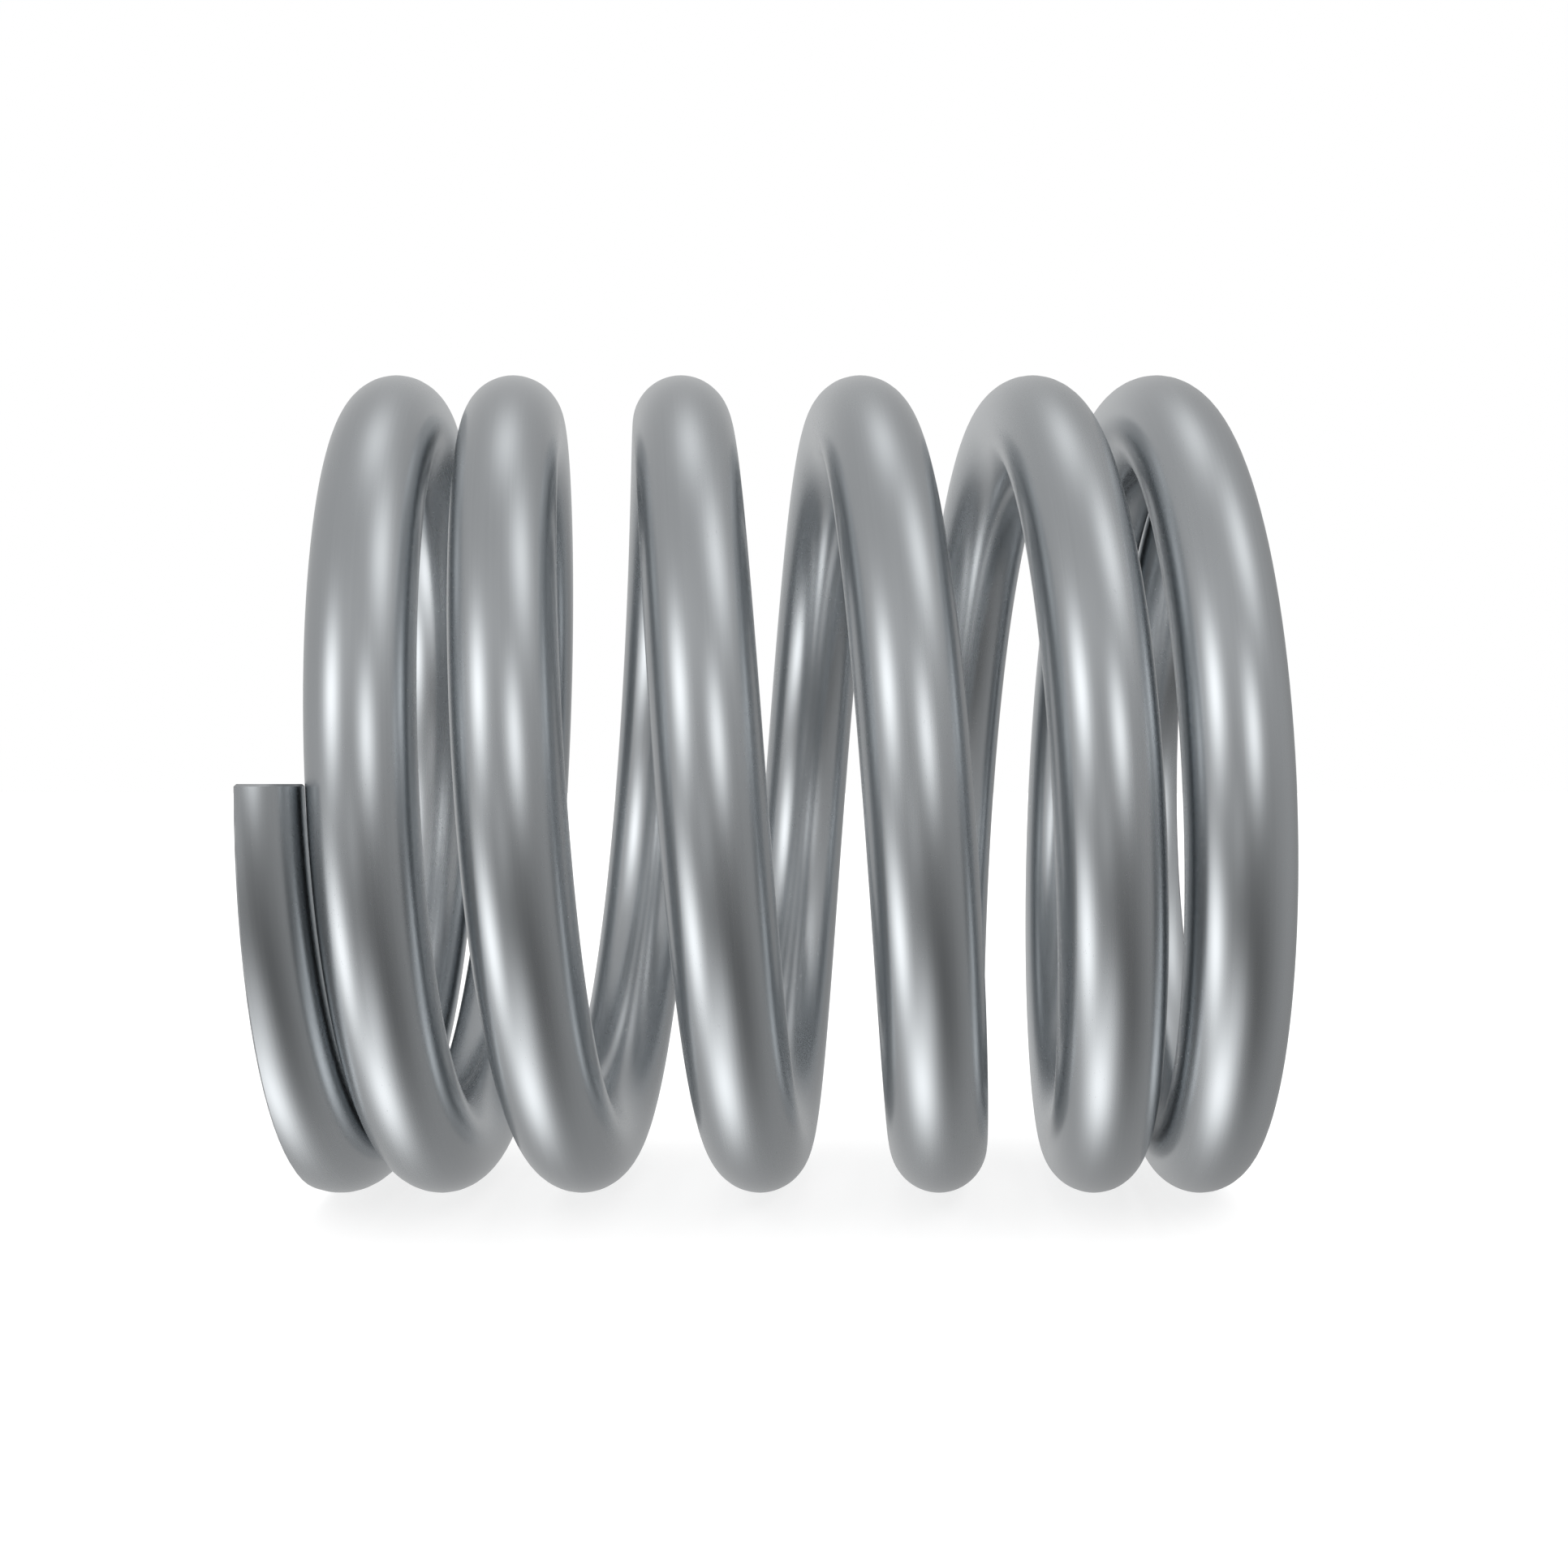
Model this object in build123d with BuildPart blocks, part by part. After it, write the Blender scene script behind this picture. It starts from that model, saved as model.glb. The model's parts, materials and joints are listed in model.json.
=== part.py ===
"""A helical compression spring, coiled from one length of round wire.

The axis lies along X and the spring rests on its side on the plane Z = 0. The origin is on that
plane, under the middle of the spring. The wire is wound right-handed: seen from -X, looking
towards +X, it turns clockwise as it goes away. Its turns are closed at both ends and open in
between, and both ends are ground flat, square to the axis.

The wire is one piece on the real spring. Here it is cut into stretches, so that it can be
compressed: an end coil on each side and half coils between them. Each cut is in a plane that
holds the axis, so the two faces of a cut stay in that plane when the stretches move along X.
"""

from build123d import *
from math import ceil, cos, pi, sin
import os

# Driving dimensions, in millimetres and turns
wire_diameter = 6.0
mean_coil_diameter = 45.3  # from wire centre to wire centre
free_length = 57.4  # from ground face to ground face
total_turns = 6.71
closed_turns = 1.0  # wound closed at each end
ramp_turns = 1.42  # over which the pitch grows from closed to open
closed_gap = 0.15  # between the wires of a closed turn
end_coil_turns = 1.355  # of wire in the end coil on each side
half_coil_count = 8
sections_per_turn = 24  # along the wire

# Worked out
wire_radius = wire_diameter / 2
coil_radius = mean_coil_diameter / 2
axis_height = coil_radius + wire_radius  # above the surface that the spring lies on
closed_pitch = wire_diameter + closed_gap
full_pitch_turns = total_turns - 2 * closed_turns - ramp_turns  # turns' worth of extra pitch
extra_pitch = (free_length - closed_pitch * total_turns) / full_pitch_turns
stretch_turns = (total_turns - 2 * end_coil_turns) / half_coil_count


def extra_rise(turn):
    """How much further along the axis the wire is than closed turns would take it.

    It holds from the left tip to the middle of the spring: nothing in the closed turns, a
    parabola while the pitch grows, and a straight line at full pitch.
    """
    past = turn - closed_turns
    if past <= 0:
        return 0
    if past < ramp_turns:
        return extra_pitch * past**2 / (2 * ramp_turns)
    return extra_pitch * (past - ramp_turns / 2)


def along_axis(turn):
    """The X of the wire's centre, after that many turns from the left tip."""
    extra = extra_rise(min(turn, total_turns - turn))
    if turn > total_turns / 2:
        extra = extra_pitch * full_pitch_turns - extra
    return closed_pitch * turn + extra - free_length / 2


def wire_centre(turn):
    """The wire's centre. Turn 0 is at the front, level with the axis, and it winds downwards."""
    angle = 2 * pi * turn
    return Vector(
        along_axis(turn),
        -coil_radius * cos(angle),
        axis_height - coil_radius * sin(angle),
    )


def cut_plane(turn):
    """The plane across the wire that holds the spring's axis, facing the way the wire goes."""
    angle = 2 * pi * turn
    return Plane(origin=wire_centre(turn), x_dir=(1, 0, 0), z_dir=(0, sin(angle), -cos(angle)))


def wound_wire(start_turn, end_turn):
    """A stretch of round wire between two cuts, lofted through round sections along it."""
    spans = ceil((end_turn - start_turn) * sections_per_turn)
    with BuildPart() as stretch:
        for section in range(spans + 1):
            turn = start_turn + (end_turn - start_turn) * section / spans
            with BuildSketch(cut_plane(turn)):
                Circle(wire_radius)
        loft()
    return stretch


def save(piece, name):
    """Label a finished piece and write it to the parts folder."""
    piece.part.label = name
    export_step(piece.part, f"parts/{name}.step")


os.makedirs("parts", exist_ok=True)

# End coils: the wire's centre starts in the plane of the ground face, so half of the wire's
# thickness is left at the tip, and the face runs out where the wire has risen by its radius.
left_wire = wound_wire(0, end_coil_turns)
with BuildPart() as end_coil_left:
    add(left_wire.part)
    split(bisect_by=Plane.YZ.offset(-free_length / 2), keep=Keep.TOP)
save(end_coil_left, "end_coil_left")

right_wire = wound_wire(total_turns - end_coil_turns, total_turns)
with BuildPart() as end_coil_right:
    add(right_wire.part)
    split(bisect_by=Plane.YZ.offset(free_length / 2), keep=Keep.BOTTOM)
save(end_coil_right, "end_coil_right")

# Half coils, counted from the left
for number in range(1, half_coil_count + 1):
    start_turn = end_coil_turns + (number - 1) * stretch_turns
    save(wound_wire(start_turn, start_turn + stretch_turns), f"half_coil_{number}")
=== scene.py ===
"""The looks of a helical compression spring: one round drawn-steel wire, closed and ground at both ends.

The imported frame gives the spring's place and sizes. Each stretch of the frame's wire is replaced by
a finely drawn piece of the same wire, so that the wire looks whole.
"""

import json
import logging
from dataclasses import dataclass, field
from enum import Enum
from math import acos, cos, pi, radians, sin
from typing import Any, Iterable, Sequence

import bpy
import numpy as np
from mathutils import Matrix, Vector


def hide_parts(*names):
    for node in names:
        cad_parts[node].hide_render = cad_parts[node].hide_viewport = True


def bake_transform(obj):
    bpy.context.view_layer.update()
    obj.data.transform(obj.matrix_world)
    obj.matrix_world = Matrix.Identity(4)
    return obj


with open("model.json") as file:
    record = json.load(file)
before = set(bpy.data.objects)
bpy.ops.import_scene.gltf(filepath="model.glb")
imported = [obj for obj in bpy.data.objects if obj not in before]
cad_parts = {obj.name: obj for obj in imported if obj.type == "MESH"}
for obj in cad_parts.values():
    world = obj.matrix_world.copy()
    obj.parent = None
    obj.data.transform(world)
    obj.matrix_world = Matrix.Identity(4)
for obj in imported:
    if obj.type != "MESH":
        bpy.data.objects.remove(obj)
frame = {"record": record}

MILLIMETRE = 0.001
FULL_TURN = 2 * pi

log = logging.getLogger("spring")

Colour = tuple[float, float, float]


# ---------------------------------------------------------------------------------------------
# Shader graphs


class Value:
    """An output socket of a node. Where it carries a number, arithmetic on it adds Math nodes."""

    def __init__(self, graph: "Graph", socket: bpy.types.NodeSocket) -> None:
        """Keep the socket, and the graph that it is in."""
        self.graph = graph
        self.socket = socket

    def _math(self, operation: str, *operands: Any) -> "Value":
        """Add a Math node and give its result."""
        return self.graph.node("ShaderNodeMath", {"operation": operation}, dict(enumerate(operands)))

    def __add__(self, other: Any) -> "Value":
        """Self plus other."""
        return self._math("ADD", self, other)

    __radd__ = __add__

    def __sub__(self, other: Any) -> "Value":
        """Self minus other."""
        return self._math("SUBTRACT", self, other)

    def __rsub__(self, other: Any) -> "Value":
        """Other minus self."""
        return self._math("SUBTRACT", other, self)

    def __mul__(self, other: Any) -> "Value":
        """Self times other."""
        return self._math("MULTIPLY", self, other)

    __rmul__ = __mul__

    def __pow__(self, other: Any) -> "Value":
        """Self to the power of other."""
        return self._math("POWER", self, other)

    def exponent(self) -> "Value":
        """The number e to the power of self."""
        return self._math("EXPONENT", self)

    def at_least(self, other: Any) -> "Value":
        """The larger of self and other."""
        return self._math("MAXIMUM", self, other)

    def between(self, low: float, high: float) -> "Value":
        """0 below low, 1 above high, and a smooth rise from one to the other.

        Args:
            low: where the rise starts.
            high: where it ends.

        Returns:
            The value, from 0 to 1.
        """
        settings = {"interpolation_type": "SMOOTHSTEP"}
        sockets = {"Value": self, "From Min": low, "From Max": high}
        return self.graph.node("ShaderNodeMapRange", settings, sockets)


class Graph:
    """A node tree that is built by calls, one call for each node."""

    def __init__(self, tree: bpy.types.NodeTree) -> None:
        """Empty the node tree of a material or a world."""
        self.tree = tree
        self.tree.nodes.clear()

    def node(
        self,
        kind: str,
        settings: dict[str, Any] | None = None,
        sockets: dict[Any, Any] | None = None,
        output: int | str = 0,
    ) -> Value:
        """Add a node.

        Args:
            kind: the node's type.
            settings: its properties, which are set before its sockets.
            sockets: for each input's name or number, a number, a colour or a Value to link.
            output: the name or number of the output to give back.

        Returns:
            That output.
        """
        made = self.tree.nodes.new(kind)
        for name, setting in (settings or {}).items():
            setattr(made, name, setting)
        for name, given in (sockets or {}).items():
            if isinstance(given, Value):
                self.tree.links.new(given.socket, made.inputs[name])
            else:
                made.inputs[name].default_value = given
        return Value(self, made.outputs[output] if made.outputs else None)

    def attribute(self, name: str) -> Value:
        """A vector that is stored on the mesh's points."""
        return self.node("ShaderNodeAttribute", {"attribute_name": name}, output="Vector")

    def parts_of(self, vector: Value) -> tuple[Value, Value, Value]:
        """Take a vector apart.

        Args:
            vector: the vector.

        Returns:
            Its three numbers.
        """
        split = self.node("ShaderNodeSeparateXYZ", None, {0: vector})
        outputs = split.socket.node.outputs
        return Value(self, outputs[0]), Value(self, outputs[1]), Value(self, outputs[2])

    def along_wire(self, place: Value, length: float, width: float) -> Value:
        """The place to read a pattern at, so that one unit of it is this long and wide on the wire."""
        scale = (1 / length, 1 / width, 1 / width)
        return self.node("ShaderNodeVectorMath", {"operation": "MULTIPLY"}, {0: place, 1: scale})

    def noise(self, vector: Value, detail: float = 2.0, roughness: float = 0.5) -> Value:
        """Smooth noise, about 0.5 on average, with about one bump to each unit of the vector."""
        sockets = {"Vector": vector, "Scale": 1.0, "Detail": detail, "Roughness": roughness}
        return self.node("ShaderNodeTexNoise", None, sockets)

    def mixed(self, share: Value, first: Colour, second: Colour) -> Value:
        """A colour between two.

        Args:
            share: 0 for the first colour, 1 for the second.
            first: a linear colour.
            second: another.

        Returns:
            The mixed colour.
        """
        settings = {"data_type": "RGBA"}
        sockets = {0: share, 6: (*first, 1), 7: (*second, 1)}
        return self.node("ShaderNodeMix", settings, sockets, output=2)

    def bump(self, height: Value, depth: float) -> Value:
        """The normal of a relief that is depth metres high where its height is 1."""
        return self.node("ShaderNodeBump", None, {"Strength": 1.0, "Distance": depth, "Height": height})

    def metal(self, colour: Value, roughness: Value, normal: Value) -> None:
        """End the graph in a bare metal's shader.

        Args:
            colour: what it reflects face on.
            roughness: how wide its reflections spread.
            normal: its fine relief.
        """
        sockets = {"Base Color": colour, "Metallic": 1.0, "Roughness": roughness, "Normal": normal}
        shader = self.node("ShaderNodeBsdfPrincipled", None, sockets)
        self.node("ShaderNodeOutputMaterial", None, {"Surface": shader})


def new_graph(name: str) -> tuple[bpy.types.Material, Graph]:
    """Start a material.

    Args:
        name: the material's name.

    Returns:
        The material and its empty graph.
    """
    material = bpy.data.materials.new(name)
    material.use_nodes = True
    return material, Graph(material.node_tree)


# ---------------------------------------------------------------------------------------------
# Finishes

WIRE_PLACE = "wire_place"  # along the wire, along the axis and outwards, in millimetres
NOISE_MEAN = 0.5


@dataclass(frozen=True)
class DrawnWire:
    """Bright spring wire, as it leaves the die: satin, with fine lines along it."""

    dark: Colour = (0.515, 0.54, 0.56)
    light: Colour = (0.612, 0.636, 0.655)
    roughness: float = 0.26
    roughness_spread: float = 0.10
    line_width: float = 0.16  # mm, around the wire
    line_length: float = 26.0  # mm
    line_depth: float = 0.0007  # mm
    line_shade: float = 0.45  # of the way from dark to light
    line_dullness: float = 0.4  # of the spread of roughness
    cloud_width: float = 5.0  # mm, of the dull and bright patches
    cloud_length: float = 12.5  # mm, along the wire
    cloud_shade: float = 0.55
    cloud_dullness: float = 0.6
    scuff_width: float = 1 / 6  # mm
    scuff_length: float = 0.4  # mm
    scuff_shade: float = -0.25
    scuff_dullness: float = 0.5
    scuff_relief: float = -0.5  # of the lines' depth
    scuffed_specks: tuple[float, float] = (0.66, 0.74)  # where a speck becomes a scuff
    scuffed_clouds: tuple[float, float] = (0.45, 0.65)

    def material(self) -> bpy.types.Material:
        """Make the material.

        Returns:
            The material.
        """
        material, graph = new_graph("drawn_wire")
        place = graph.attribute(WIRE_PLACE)
        line_place = graph.along_wire(place, self.line_length, self.line_width)
        lines = graph.noise(line_place, detail=3.0, roughness=0.6)
        clouds = graph.noise(graph.along_wire(place, self.cloud_length, self.cloud_width))
        specks = graph.noise(graph.along_wire(place, self.scuff_length, self.scuff_width))
        scuffs = specks.between(*self.scuffed_specks) * clouds.between(*self.scuffed_clouds)
        shade = self.cloud_shade * clouds + self.line_shade * lines + self.scuff_shade * scuffs
        colour = graph.mixed(shade, self.dark, self.light)
        dullness = self.cloud_dullness * (clouds - NOISE_MEAN) + self.line_dullness * (lines - NOISE_MEAN)
        dullness = dullness + self.scuff_dullness * scuffs
        roughness = self.roughness + self.roughness_spread * dullness
        normal = graph.bump(lines + self.scuff_relief * scuffs, self.line_depth * MILLIMETRE)
        graph.metal(colour, roughness, normal)
        return material


@dataclass(frozen=True)
class GroundFace:
    """Steel ground flat on a wheel, with fine curved marks across the face."""

    dark: Colour = (0.46, 0.475, 0.49)
    light: Colour = (0.66, 0.675, 0.69)
    roughness: float = 0.30
    roughness_spread: float = 0.16
    mark_width: float = 0.22  # mm
    mark_length: float = 12.5  # mm
    mark_depth: float = 0.004  # mm
    mark_contrast: tuple[float, float] = (0.3, 0.7)  # the marks that are dark and light
    wheel_radius: float = 90.0  # mm

    def material(self) -> bpy.types.Material:
        """Make the material.

        Returns:
            The material.
        """
        material, graph = new_graph("ground_face")
        place = graph.node("ShaderNodeTexCoord", output="Object")
        _, along_y, along_z = graph.parts_of(place)
        out_y = along_y * (1 / MILLIMETRE) + self.wheel_radius
        out_z = along_z * (1 / MILLIMETRE)
        radius = (out_y**2 + out_z**2) ** 0.5
        spot = {0: radius * (1 / self.mark_width), 1: out_z * (1 / self.mark_length)}
        marks = graph.noise(graph.node("ShaderNodeCombineXYZ", None, spot), detail=4.0, roughness=0.65)
        colour = graph.mixed(marks.between(*self.mark_contrast), self.dark, self.light)
        roughness = self.roughness + self.roughness_spread * marks
        graph.metal(colour, roughness, graph.bump(marks, self.mark_depth * MILLIMETRE))
        return material


@dataclass(frozen=True)
class ShearedTip:
    """The end of the wire where it was cut off: grainy, with a smooth rubbed band."""

    dark: Colour = (0.30, 0.31, 0.325)
    light: Colour = (0.52, 0.535, 0.55)
    roughness: float = 0.62
    grain_size: float = 0.18  # mm
    grain_depth: float = 0.02  # mm
    grain_shade: float = 0.5  # of the way from dark to light
    grain_roughness: float = 0.1
    rubbed_band: tuple[float, float] = (0.6, 1.1)  # mm, outwards from the wire's centre
    rubbed_edge: float = 0.4  # mm, how uneven the band's edge is
    rubbed_shade: float = 0.6
    rubbed_roughness: float = -0.3
    rubbed_relief: float = 0.8  # of the grain, which is rubbed away
    lean: float = 0.02  # of the grain's depth to each millimetre along the axis

    def material(self) -> bpy.types.Material:
        """Make the material.

        Returns:
            The material.
        """
        material, graph = new_graph("sheared_tip")
        place = graph.attribute(WIRE_PLACE)
        _, along_axis, outwards = graph.parts_of(place)
        grain_place = graph.along_wire(place, self.grain_size, self.grain_size)
        grain = graph.noise(grain_place, detail=3.0, roughness=0.6)
        rubbed = (outwards + self.rubbed_edge * grain).between(*self.rubbed_band)
        shade = self.rubbed_shade * rubbed + self.grain_shade * grain
        colour = graph.mixed(shade, self.dark, self.light)
        roughness = self.roughness + self.rubbed_roughness * rubbed + self.grain_roughness * grain
        relief = grain * (1 - self.rubbed_relief * rubbed) + self.lean * along_axis
        graph.metal(colour, roughness, graph.bump(relief, self.grain_depth * MILLIMETRE))
        return material


@dataclass(frozen=True)
class PaleFloor:
    """A white light table for the spring to lie on, on which its shadow is faint."""

    shade: float = 0.3
    glow: float = 0.78

    def material(self) -> bpy.types.Material:
        """Make the material.

        Returns:
            The material.
        """
        material, graph = new_graph("pale_floor")
        sockets = {
            "Base Color": (self.shade, self.shade, self.shade, 1),
            "Roughness": 1.0,
            "Specular IOR Level": 0.0,
            "Emission Color": (1, 1, 1, 1),
            "Emission Strength": self.glow,
        }
        shader = graph.node("ShaderNodeBsdfPrincipled", None, sockets)
        graph.node("ShaderNodeOutputMaterial", None, {"Surface": shader})
        return material


# ---------------------------------------------------------------------------------------------
# The spring


class Finish(Enum):
    """The material slots of a piece of wire."""

    DRAWN = 0
    GROUND = 1
    SHEARED = 2


@dataclass(frozen=True)
class Winding:
    """The path of the wire, in millimetres and turns, counted from the left tip."""

    wire_radius: float
    coil_radius: float
    free_length: float
    axis_height: float
    turns: float = 6.71
    closed_turns: float = 1.0
    ramp_turns: float = 1.42
    closed_gap: float = 0.15

    @property
    def closed_pitch(self) -> float:
        """The pitch where the turns are closed."""
        return 2 * self.wire_radius + self.closed_gap

    @property
    def full_pitch_turns(self) -> float:
        """How many turns' worth of extra pitch the spring has."""
        return self.turns - 2 * self.closed_turns - self.ramp_turns

    @property
    def extra_pitch(self) -> float:
        """What the open turns' pitch has beyond the closed turns'."""
        return (self.free_length - self.closed_pitch * self.turns) / self.full_pitch_turns

    @property
    def run_out(self) -> float:
        """The turn at which a ground face ends."""
        return self.wire_radius / self.closed_pitch

    def opened(self, turn: float) -> float:
        """How far the spring has opened from the left tip to a turn, as a share of the whole.

        Args:
            turn: a place along the wire.

        Returns:
            0 at the left tip and 1 at the right one.
        """
        past = min(turn, self.turns - turn) - self.closed_turns
        if past <= 0:
            opened = 0.0
        elif past < self.ramp_turns:
            opened = past**2 / (2 * self.ramp_turns)
        else:
            opened = past - self.ramp_turns / 2
        share = opened / self.full_pitch_turns
        return 1 - share if turn > self.turns / 2 else share

    def pitch(self, turn: float) -> float:
        """The pitch at a turn, which grows evenly over the ramp."""
        past = min(turn, self.turns - turn) - self.closed_turns
        return self.closed_pitch + self.extra_pitch * min(1.0, max(0.0, past / self.ramp_turns))

    def along_axis(self, turn: float) -> float:
        """The X of the wire's centre at a turn."""
        opened = self.extra_pitch * self.full_pitch_turns * self.opened(turn)
        return self.closed_pitch * turn + opened - self.free_length / 2

    def point(self, turn: float, beside: float, outwards: float) -> np.ndarray:
        """A point of the section at a turn.

        Args:
            turn: the section's place along the wire.
            beside: how far the point is from the wire's centre, along the axis.
            outwards: how far it is from the wire's centre, away from the axis.

        Returns:
            The point, in millimetres.
        """
        angle = FULL_TURN * turn
        reach = self.coil_radius + outwards
        return np.array(
            [
                self.along_axis(turn) + beside,
                -reach * cos(angle),
                self.axis_height - reach * sin(angle),
            ]
        )

    def normal(self, turn: float, around: float) -> np.ndarray:
        """The wire's outward normal.

        Args:
            turn: the section's place along the wire.
            around: the angle about the wire's centre, from +X towards the outside.

        Returns:
            The unit normal.
        """
        angle = FULL_TURN * turn
        reach = self.coil_radius + self.wire_radius * sin(around)
        out = np.array([0.0, -cos(angle), -sin(angle)])
        onwards = np.array([0.0, sin(angle), -cos(angle)])
        lean = -self.pitch(turn) * cos(around) / (FULL_TURN * reach)
        normal = np.array([cos(around), 0.0, 0.0]) + sin(around) * out + lean * onwards
        return normal / np.linalg.norm(normal)


@dataclass
class WireMesh:
    """The points and faces of a piece of wire, while it is being made."""

    winding: Winding
    points: list[np.ndarray] = field(default_factory=list)
    places: list[tuple[float, float, float]] = field(default_factory=list)
    turns: list[float] = field(default_factory=list)
    faces: list[list[int]] = field(default_factory=list)
    finishes: list[Finish] = field(default_factory=list)
    normals: list[list[np.ndarray | None]] = field(default_factory=list)

    def add_point(self, turn: float, beside: float, outwards: float) -> int:
        """Add a point of the section at a turn.

        Args:
            turn: the section's place along the wire.
            beside: how far the point is from the wire's centre, along the axis.
            outwards: how far it is from the wire's centre, away from the axis.

        Returns:
            The point's number.
        """
        self.points.append(self.winding.point(turn, beside, outwards))
        self.places.append((FULL_TURN * self.winding.coil_radius * turn, beside, outwards))
        self.turns.append(turn)
        return len(self.points) - 1

    def add_face(
        self,
        corners: Sequence[int],
        finish: Finish,
        normals: Sequence[np.ndarray] | None = None,
    ) -> None:
        """Add a face.

        Args:
            corners: its points, which may repeat where it narrows to a triangle.
            finish: its material.
            normals: the surface's true normal at each corner, or nothing for a flat face.
        """
        kept = [i for i, corner in enumerate(corners) if corner != corners[i - 1]]
        if len(kept) < 3:
            return
        self.faces.append([corners[i] for i in kept])
        self.finishes.append(finish)
        self.normals.append([normals[i] if normals is not None else None for i in kept])

    def add_cap(self, ring: Sequence[int], finish: Finish, faces_back: bool) -> None:
        """Close the wire across its section.

        Args:
            ring: the section's points, in order.
            finish: the cap's material.
            faces_back: whether it faces against the wire's direction.
        """
        beside = float(np.mean([self.places[i][1] for i in ring]))
        outwards = float(np.mean([self.places[i][2] for i in ring]))
        middle = self.add_point(self.turns[ring[0]], beside, outwards)
        for first, second in zip(ring, [*ring[1:], ring[0]]):
            corners = [middle, second, first] if faces_back else [middle, first, second]
            self.add_face(corners, finish)

    def turned_round(self) -> "WireMesh":
        """Turn the piece round to the other end of the spring.

        The spring looks the same after half a turn about a line through its middle.

        Returns:
            The turned piece.
        """
        other = WireMesh(self.winding)
        middle = pi * self.winding.turns
        axis = np.array([0.0, -cos(middle), -sin(middle)])
        half_turn = 2 * np.outer(axis, axis) - np.eye(3)
        centre = np.array([0.0, 0.0, self.winding.axis_height])
        length = FULL_TURN * self.winding.coil_radius * self.winding.turns
        other.points = [centre + half_turn @ (point - centre) for point in self.points]
        other.places = [(length - along, -beside, out) for along, beside, out in self.places]
        other.turns = [self.winding.turns - turn for turn in self.turns]
        other.faces = self.faces
        other.finishes = self.finishes
        other.normals = [[None if n is None else half_turn @ n for n in row] for row in self.normals]
        return other

    def build(self, name: str) -> bpy.types.Object:
        """Make the Blender object.

        Args:
            name: the piece's name.

        Returns:
            The object, with its places along the wire stored on its points.
        """
        mesh = bpy.data.meshes.new(name)
        mesh.from_pydata([tuple(point * MILLIMETRE) for point in self.points], [], self.faces)
        mesh.polygons.foreach_set("material_index", [finish.value for finish in self.finishes])
        mesh.polygons.foreach_set("use_smooth", [True] * len(self.faces))
        place = mesh.attributes.new(WIRE_PLACE, "FLOAT_VECTOR", "POINT")
        place.data.foreach_set("vector", np.array(self.places, np.float32).ravel())
        mesh.update()
        flat = [polygon.normal.copy() for polygon in mesh.polygons]
        corners = [
            tuple(flat[face]) if normal is None else tuple(normal)
            for face, row in enumerate(self.normals)
            for normal in row
        ]
        mesh.normals_split_custom_set(corners)
        made = bpy.data.objects.new(name, mesh)
        bpy.context.scene.collection.objects.link(made)
        return made


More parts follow.
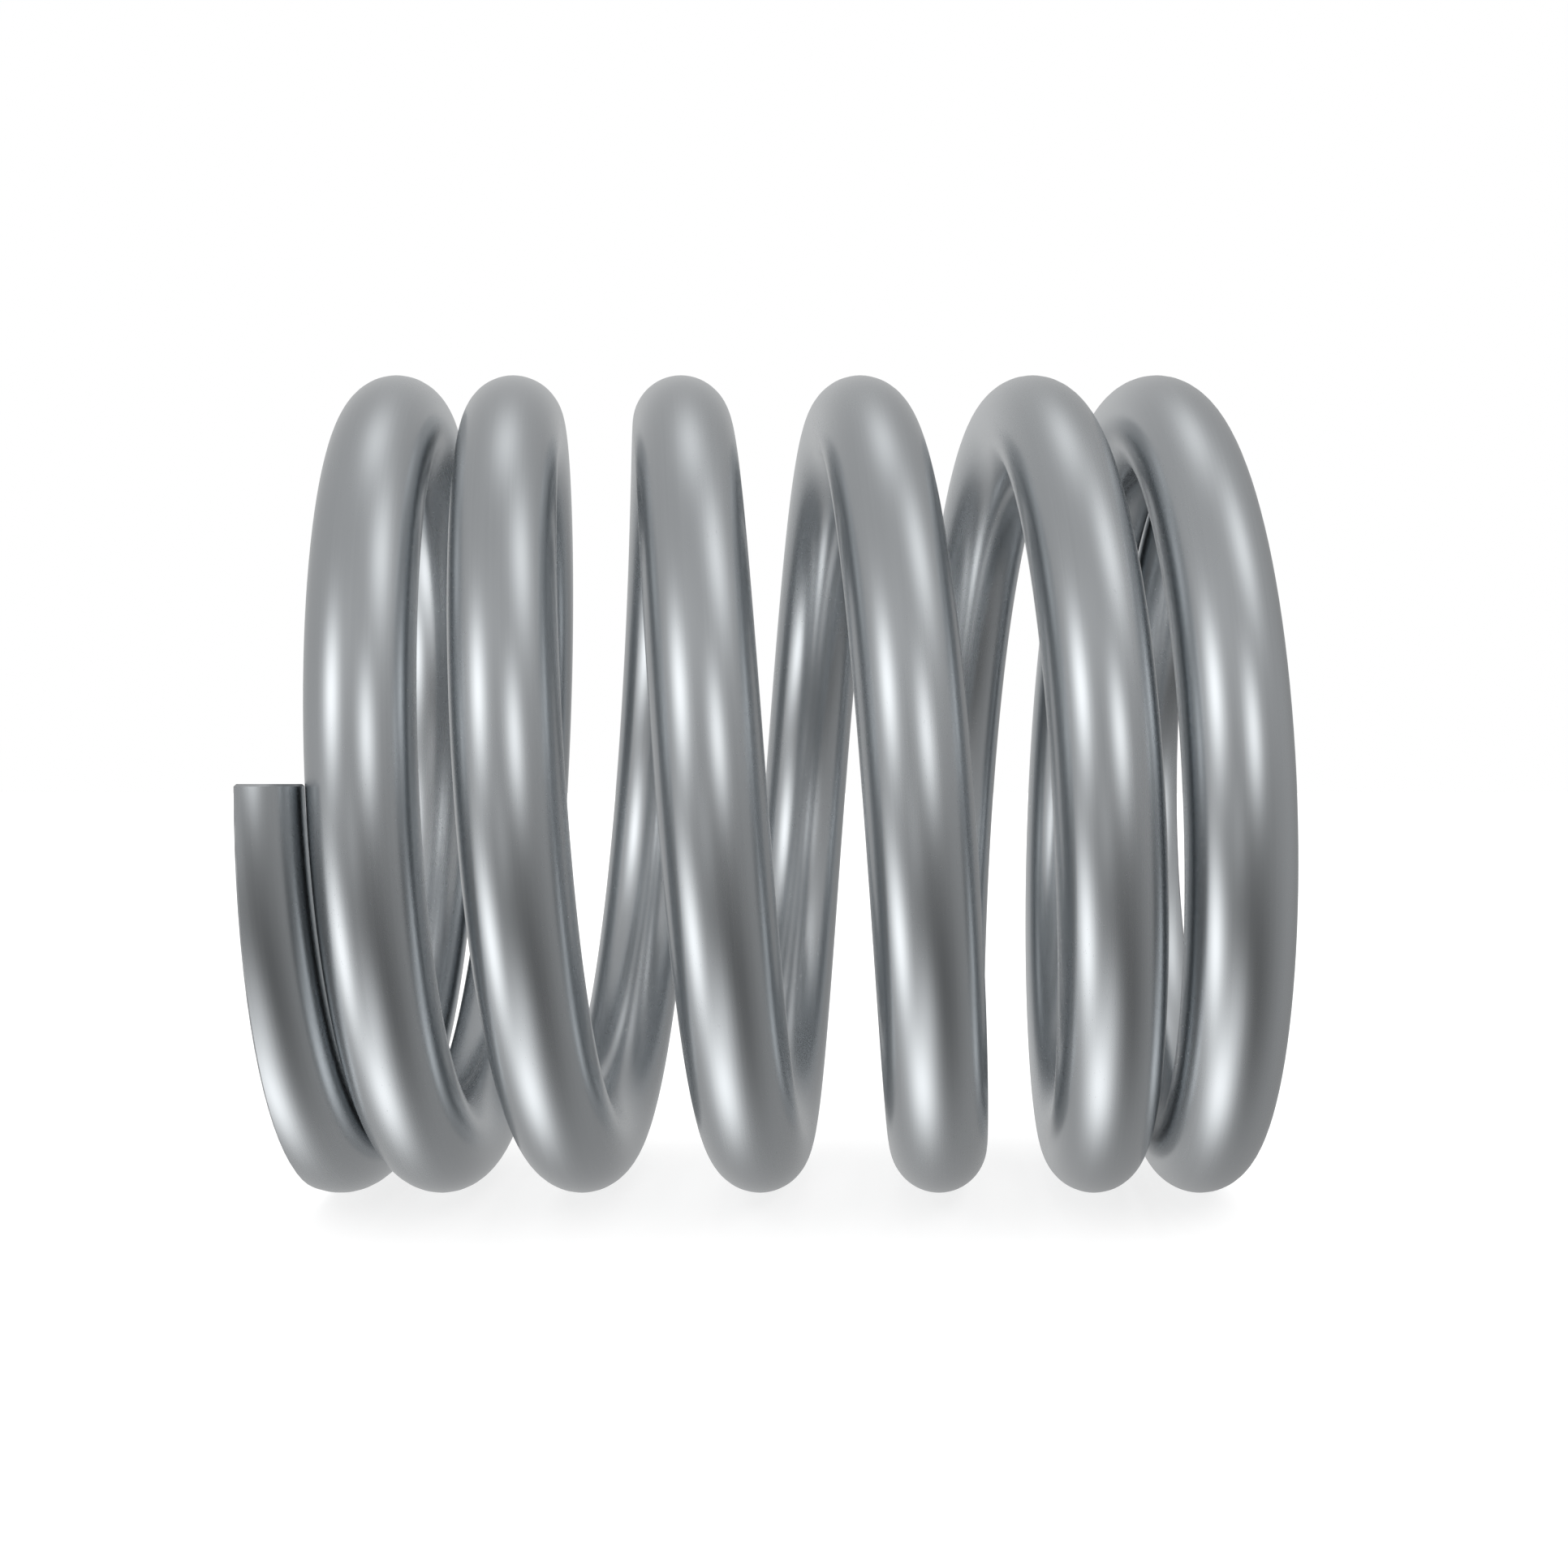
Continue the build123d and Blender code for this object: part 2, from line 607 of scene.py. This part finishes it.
@dataclass
class SteelSpring:
    """The spring, as ten stretches of one wire."""

    winding: Winding
    end_coil_turns: float = 1.355
    half_coils: int = 8
    rings_per_turn: int = 120
    points_around: int = 64
    ground_rings: int = 72
    ground_strips: int = 10
    edge_break: float = 0.12  # mm, taken off the edges of the ground face and the tip

    def angles(self, opening: float = 0.0) -> list[float]:
        """The angles of a section's points, from the ground side all the way round.

        Args:
            opening: half the angle that is ground away.

        Returns:
            One angle for each point. An open section has one more than a whole one.
        """
        span = FULL_TURN - 2 * opening
        count = self.points_around + (1 if opening > 0 else 0)
        return [pi + opening + span * i / self.points_around for i in range(count)]

    def add_ring(
        self, mesh: WireMesh, turn: float, angles: Iterable[float], inset: float = 0.0
    ) -> list[int]:
        """Add a section's points on the round of the wire, or inset from it, and give their numbers."""
        radius = self.winding.wire_radius - inset
        return [mesh.add_point(turn, radius * cos(angle), radius * sin(angle)) for angle in angles]

    def join_rings(
        self,
        mesh: WireMesh,
        rings: Sequence[tuple[float, list[float], list[int]]],
    ) -> None:
        """Add the round surface between sections.

        Args:
            mesh: the piece.
            rings: each section's turn, the angles of its points, and the points.
        """
        for (turn_a, angles_a, ring_a), (turn_b, angles_b, ring_b) in zip(rings, rings[1:]):
            normals_a = [self.winding.normal(turn_a, angle) for angle in angles_a]
            normals_b = [self.winding.normal(turn_b, angle) for angle in angles_b]
            for i in range(self.points_around):
                a, b = (i + 1) % len(ring_a), (i + 1) % len(ring_b)
                corners = [ring_a[i], ring_a[a], ring_b[b], ring_b[i]]
                normals = [normals_a[i], normals_a[a], normals_b[b], normals_b[i]]
                mesh.add_face(corners, Finish.DRAWN, normals)

    def plain_rings(
        self, mesh: WireMesh, start: float, end: float, first: list[int] | None = None
    ) -> list[tuple[float, list[float], list[int]]]:
        """Add whole round sections from one turn to another.

        Args:
            mesh: the piece.
            start: the first section's turn.
            end: the last section's turn.
            first: the first section's points, if it is there already.

        Returns:
            Each section's turn, angles and points.
        """
        spans = max(1, round((end - start) * self.rings_per_turn))
        rings = []
        for i in range(spans + 1):
            turn = start + (end - start) * i / spans
            angles = self.angles()
            points = first if i == 0 and first else self.add_ring(mesh, turn, angles)
            rings.append((turn, angles, points))
        return rings

    def half_coil(self, start: float, end: float) -> WireMesh:
        """Make a plain stretch of wire, closed across both cuts.

        Args:
            start: the turn that it starts at.
            end: the turn that it ends at.

        Returns:
            The stretch.
        """
        mesh = WireMesh(self.winding)
        rings = self.plain_rings(mesh, start, end)
        self.join_rings(mesh, rings)
        mesh.add_cap(rings[0][2], Finish.DRAWN, faces_back=True)
        mesh.add_cap(rings[-1][2], Finish.DRAWN, faces_back=False)
        return mesh

    def ground_section(
        self, mesh: WireMesh, turn: float, inset: float = 0.0
    ) -> tuple[list[float], list[int], list[int]]:
        """Add a section of the ground stretch: the round part, and the flat part with its edges.

        Args:
            mesh: the piece.
            turn: the section's place.
            inset: how far its outline is drawn in, at the tip's broken edge.

        Returns:
            The round part's angles, its points, and the flat part's points from the outside in,
            which start and end on the round part.
        """
        radius = self.winding.wire_radius - inset
        centre = self.winding.closed_pitch * turn  # above the face
        half_width = max(0.0, radius**2 - centre**2) ** 0.5
        edge = min(self.edge_break, half_width / 3)
        opening = acos(min(1.0, max(-1.0, (centre - inset - edge) / radius)))
        angles = self.angles(opening)
        arc = self.add_ring(mesh, turn, angles, inset)
        flat = [arc[-1]]
        for i in range(self.ground_strips + 1):
            offset = (half_width - edge) * (1 - 2 * i / self.ground_strips)
            flat.append(mesh.add_point(turn, inset - centre, offset))
        flat.append(arc[0])
        return angles, arc, flat

    def add_ground_face(self, mesh: WireMesh, flats: Sequence[list[int]]) -> None:
        """Add the flat face between the sections of the ground stretch.

        Args:
            mesh: the piece.
            flats: the flat part's points in each section.
        """
        for near, far in zip(flats, flats[1:]):
            for i in range(len(near) - 1):
                mesh.add_face([near[i], near[i + 1], far[i + 1], far[i]], Finish.GROUND)

    def add_tip(self, mesh: WireMesh, tip: list[int], first: list[int]) -> None:
        """Close the wire at its tip, with a narrow broken edge round it.

        Args:
            mesh: the piece.
            tip: the outline of the tip's face.
            first: the outline of the first whole section.
        """
        for i in range(len(tip)):
            j = (i + 1) % len(tip)
            mesh.add_face([tip[i], tip[j], first[j], first[i]], Finish.SHEARED)
        mesh.add_cap(tip, Finish.SHEARED, faces_back=True)

    def end_coil(self) -> WireMesh:
        """Make the left end coil: its tip, its ground face and its closed turn.

        Returns:
            The end coil.
        """
        mesh = WireMesh(self.winding)
        run_out = self.winding.run_out
        steps = [pi / 2 * (1 - i / self.ground_rings) for i in range(self.ground_rings)]
        turns = [run_out * cos(step) for step in steps]
        turns[0] = self.edge_break / (FULL_TURN * self.winding.coil_radius)
        _, tip_arc, tip_flat = self.ground_section(mesh, 0.0, self.edge_break)
        sections = [self.ground_section(mesh, turn) for turn in turns]
        closing = self.add_ring(mesh, run_out, self.angles())

        # The ground stretch ends in a whole section, where its first point is its last one too.
        rings = [(turn, angles, arc) for turn, (angles, arc, _) in zip(turns, sections)]
        closing_angles = [*self.angles(), self.angles()[0] + FULL_TURN]
        rings.append((run_out, closing_angles, [*closing, closing[0]]))
        self.join_rings(mesh, rings)
        plain = self.plain_rings(mesh, run_out, self.end_coil_turns, closing)
        self.join_rings(mesh, plain)
        mesh.add_cap(plain[-1][2], Finish.DRAWN, faces_back=False)

        flats = [flat for _, _, flat in sections]
        flats.append([closing[0]] * len(flats[0]))
        self.add_ground_face(mesh, flats)
        _, first_arc, first_flat = sections[0]
        self.add_tip(mesh, [*tip_arc, *tip_flat[1:-1]], [*first_arc, *first_flat[1:-1]])
        return mesh

    def dress(
        self,
        made: bpy.types.Object,
        mesh: WireMesh,
        node: str,
        materials: Iterable[bpy.types.Material],
    ) -> None:
        """Give a piece its finishes, and hide the frame's node that it stands for.

        Each point's share of the opening that is to its left is worked out, but the piece isn't tied to
        the spring's ends.

        Args:
            made: the piece.
            mesh: what it was made from.
            node: the frame's node that it stands for.
            materials: a material for each finish, in order.
        """
        for material in materials:
            made.data.materials.append(material)
        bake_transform(made)
        shares = np.array([self.winding.opened(turn) for turn in mesh.turns], np.float32)
        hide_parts(node)

    def build(self) -> list[bpy.types.Object]:
        """Make and dress every stretch of the wire.

        Returns:
            The pieces, from left to right.
        """
        materials = [DrawnWire().material(), GroundFace().material(), ShearedTip().material()]
        left = self.end_coil()
        stretch = (self.winding.turns - 2 * self.end_coil_turns) / self.half_coils
        meshes = {"end_coil_left": left}
        for number in range(1, self.half_coils + 1):
            start = self.end_coil_turns + (number - 1) * stretch
            meshes[f"half_coil_{number}"] = self.half_coil(start, start + stretch)
        meshes["end_coil_right"] = left.turned_round()
        pieces = []
        for node, mesh in meshes.items():
            made = mesh.build(f"{node}_wire")
            self.dress(made, mesh, node, materials)
            pieces.append(made)
        return pieces


def winding_from_frame() -> Winding:
    """Read the wire's and the coil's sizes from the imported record.

    Returns:
        The winding.
    """
    guides = {mount["name"]: mount["dims"] for mount in frame["record"]["mounts"]}
    inner = guides["guide_rod"]["r_mm"]
    outer = guides["guide_pocket"]["r_mm"]
    return Winding(
        wire_radius=(outer - inner) / 2,
        coil_radius=(outer + inner) / 2,
        free_length=guides["guide_rod"]["length_mm"],
        axis_height=outer,
    )


# ---------------------------------------------------------------------------------------------
# The studio


def direction(azimuth: float, elevation: float) -> Vector:
    """A unit vector, from degrees round from the front towards +X, and degrees up."""
    a, e = radians(azimuth), radians(elevation)
    return Vector((sin(a) * cos(e), -cos(a) * cos(e), sin(e)))


@dataclass(frozen=True)
class Glow:
    """A round patch of the room with soft edges: a diffused lamp, or shade if it is negative."""

    azimuth: float
    elevation: float
    spread: float  # degrees
    strength: float

    def seen(self, graph: Graph, way: Value) -> Value:
        """Its brightness.

        Args:
            graph: the world's graph.
            way: the direction that is looked in.

        Returns:
            The strength in its middle, falling to nothing around it.
        """
        towards = tuple(direction(self.azimuth, self.elevation))
        settings = {"operation": "DOT_PRODUCT"}
        near = graph.node("ShaderNodeVectorMath", settings, {0: way, 1: towards}, output="Value")
        return ((near - 1) * (1 / radians(self.spread) ** 2)).exponent() * self.strength


@dataclass(frozen=True)
class Skylight:
    """A very wide soft lamp above, which whitens the whole floor and doesn't show in the steel."""

    strength: float = 3.0
    width: float = 120.0  # degrees
    height: float = 1.0  # m

    def build(self) -> bpy.types.Object:
        """Make the lamp.

        Returns:
            The lamp.
        """
        lamp = bpy.data.lights.new("skylight", "SUN")
        lamp.energy = self.strength
        lamp.angle = radians(self.width)
        made = bpy.data.objects.new("skylight", lamp)
        made.location = (0, 0, self.height)
        made.visible_glossy = False
        bpy.context.scene.collection.objects.link(made)
        return made


@dataclass
class Studio:
    """A white floor, a grey room with soft lights in it, and the camera."""

    winding: Winding
    camera_coil_radii: float = 6.139  # from the camera to the axis
    lens: float = 50.0  # mm, on a 36 mm wide frame
    near_limit: float = 0.01  # m
    floor_reach: float = 6.0  # m
    room_grey: float = 0.62
    room_dark: float = 0.02  # at the least
    glows: tuple[Glow, ...] = (
        Glow(-52, 18, 10.5, 2.25),
        Glow(22.4, 13.6, 10, 1.95),
        Glow(68, 53, 12, 1.08),
        Glow(-72, -34, 11, 2.2),
        Glow(-103, -74, 13, 1.88),
        Glow(178, 75, 11, 0.75),
        Glow(-15, -13, 9, 0.29),
        Glow(-18, -64, 13, 0.77),
        Glow(-16, 40, 14, 0.14),
        Glow(180, 5, 20, 0.52),
        Glow(19, -56, 40, -0.50),
        Glow(160, 0, 25, -0.34),
    )

    def build_floor(self) -> bpy.types.Object:
        """Make the floor, which isn't mirrored in the steel.

        Returns:
            The floor.
        """
        reach = self.floor_reach
        mesh = bpy.data.meshes.new("floor")
        corners = [(-reach, -reach, 0), (reach, -reach, 0), (reach, reach, 0), (-reach, reach, 0)]
        mesh.from_pydata(corners, [], [(0, 1, 2, 3)])
        mesh.materials.append(PaleFloor().material())
        floor = bpy.data.objects.new("floor", mesh)
        bpy.context.scene.collection.objects.link(floor)
        floor.visible_glossy = False
        floor.visible_shadow = False
        return floor

    def build_room(self) -> None:
        """Make the world: a grey room with soft lights in it, behind a plain white surround."""
        world = bpy.data.worlds.new("room")
        world.use_nodes = True
        bpy.context.scene.world = world
        graph = Graph(world.node_tree)
        way = graph.node("ShaderNodeTexCoord", output="Generated")
        shade = sum((glow.seen(graph, way) for glow in self.glows), start=self.room_grey)
        room = graph.node("ShaderNodeBackground", None, {"Strength": shade.at_least(self.room_dark)})
        white = graph.node("ShaderNodeBackground", None, {"Color": (1, 1, 1, 1)})
        looked_at = graph.node("ShaderNodeLightPath", output="Is Camera Ray")
        both = graph.node("ShaderNodeMixShader", None, {0: looked_at, 1: room, 2: white})
        graph.node("ShaderNodeOutputWorld", None, {"Surface": both})

    def build_camera(self) -> bpy.types.Object:
        """Make the camera: level with the spring's axis, and square to it.

        Returns:
            The camera.
        """
        lens = bpy.data.cameras.new("camera")
        lens.lens = self.lens
        lens.clip_start = self.near_limit
        camera = bpy.data.objects.new("camera", lens)
        distance = self.camera_coil_radii * self.winding.coil_radius
        camera.location = Vector((0, -distance, self.winding.axis_height)) * MILLIMETRE
        camera.rotation_euler = (radians(90), 0, 0)
        bpy.context.scene.collection.objects.link(camera)
        bpy.context.scene.camera = camera
        return camera

    def build(self) -> None:
        """Make everything round the spring."""
        self.build_floor()
        Skylight().build()
        self.build_room()
        self.build_camera()
        bpy.context.scene.view_settings.view_transform = "Standard"


def main() -> None:
    """Build the spring and the studio."""
    logging.basicConfig(level=logging.INFO, format="%(name)s: %(message)s")
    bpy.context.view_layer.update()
    winding = winding_from_frame()
    for piece in SteelSpring(winding).build():
        log.info("%s: %d faces", piece.name, len(piece.data.polygons))
    Studio(winding).build()


if __name__ == "__main__":
    main()
